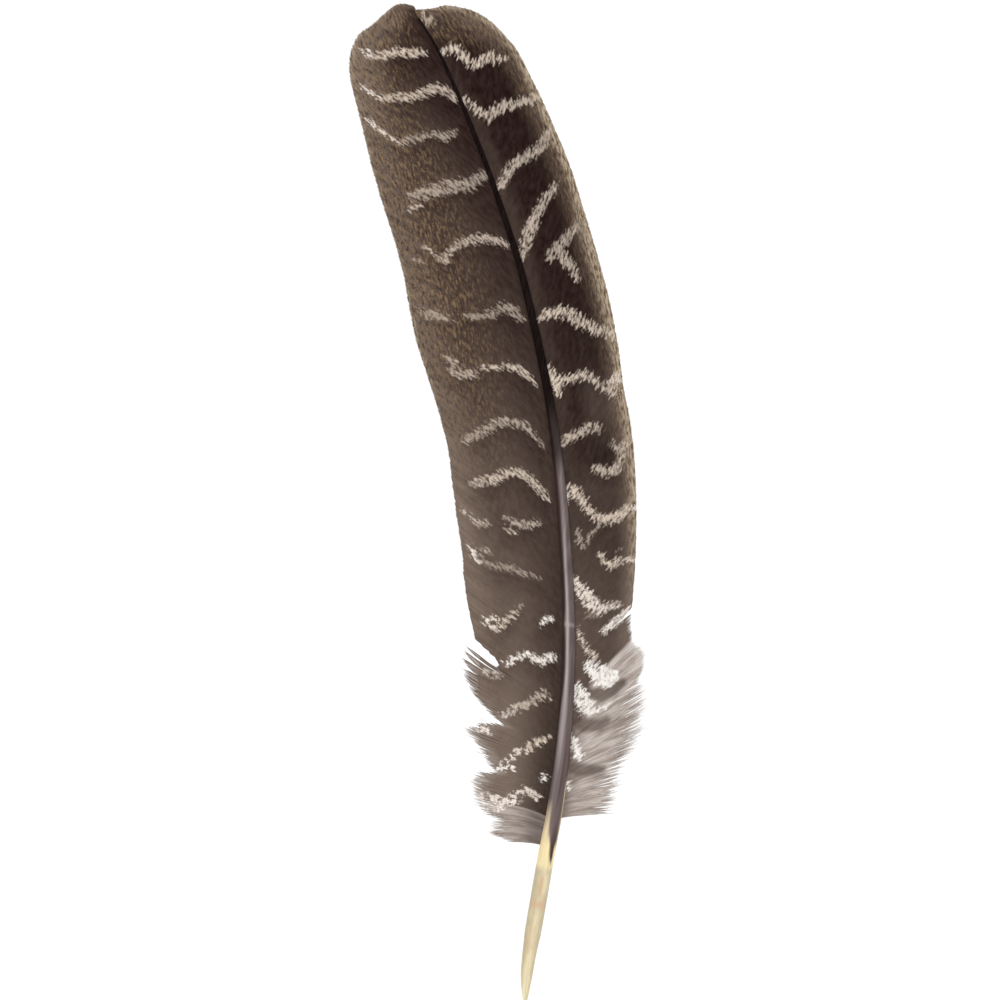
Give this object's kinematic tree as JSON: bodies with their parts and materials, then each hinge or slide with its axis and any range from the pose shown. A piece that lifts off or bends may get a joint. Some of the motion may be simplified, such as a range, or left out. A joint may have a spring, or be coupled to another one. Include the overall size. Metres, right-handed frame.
{
  "type": "quill pen",
  "caption": "Feather quill pen: hollow horn barrel cut to a slit nib, curved shaft and two barred vanes with downy bases; the nib's halves flex apart.",
  "frame": {"origin": "middle of the nib's writing edge, halfway through its wall", "axes": "+Z along the barrel's axis from the nib towards the feather's tip; -Y out of the feather's upper, convex face; +X towards the narrow outer vane"},
  "size_m": [0.1225, 0.0233, 0.296],
  "materials": {
    "horn": "satin",
    "nib_horn": "satin",
    "membrane": "satin",
    "shaft": "satin",
    "pith": "matte",
    "vane": "matte",
    "down": "matte"
  },
  "bodies": {
    "pen": {"quill_barrel": "horn", "pulp_caps": "membrane", "umbilicus_cap": "horn", "shaft_shell": "shaft", "shaft_pith": "pith", "inner_down": "down", "inner_vane_1": "vane", "inner_vane_2": "vane", "inner_vane_3": "vane", "inner_vane_4": "vane", "inner_vane_5": "vane", "inner_vane_6": "vane", "inner_vane_7": "vane", "inner_vane_8": "vane", "outer_down": "down", "outer_vane_1": "vane", "outer_vane_2": "vane", "outer_vane_3": "vane", "outer_vane_4": "vane", "outer_vane_5": "vane", "outer_vane_6": "vane"},
    "left_tine": {"left_tine": "nib_horn"},
    "right_tine": {"right_tine": "nib_horn"}
  },
  "joints": [
    {"name": "left_tine_flex", "type": "hinge", "parent": "pen", "child": "left_tine", "pos_m": [-0.00197, -0.00015, 0.009], "axis": [-0.9404, 0.3401, 0], "range_deg": [0, 4], "stiffness_Nm_per_rad": 0.02},
    {"name": "right_tine_flex", "type": "hinge", "parent": "pen", "child": "right_tine", "pos_m": [0.00009, 0.00012, 0.009], "axis": [-0.8211, -0.5708, 0], "range_deg": [0, 4], "stiffness_Nm_per_rad": 0.02}
  ]
}
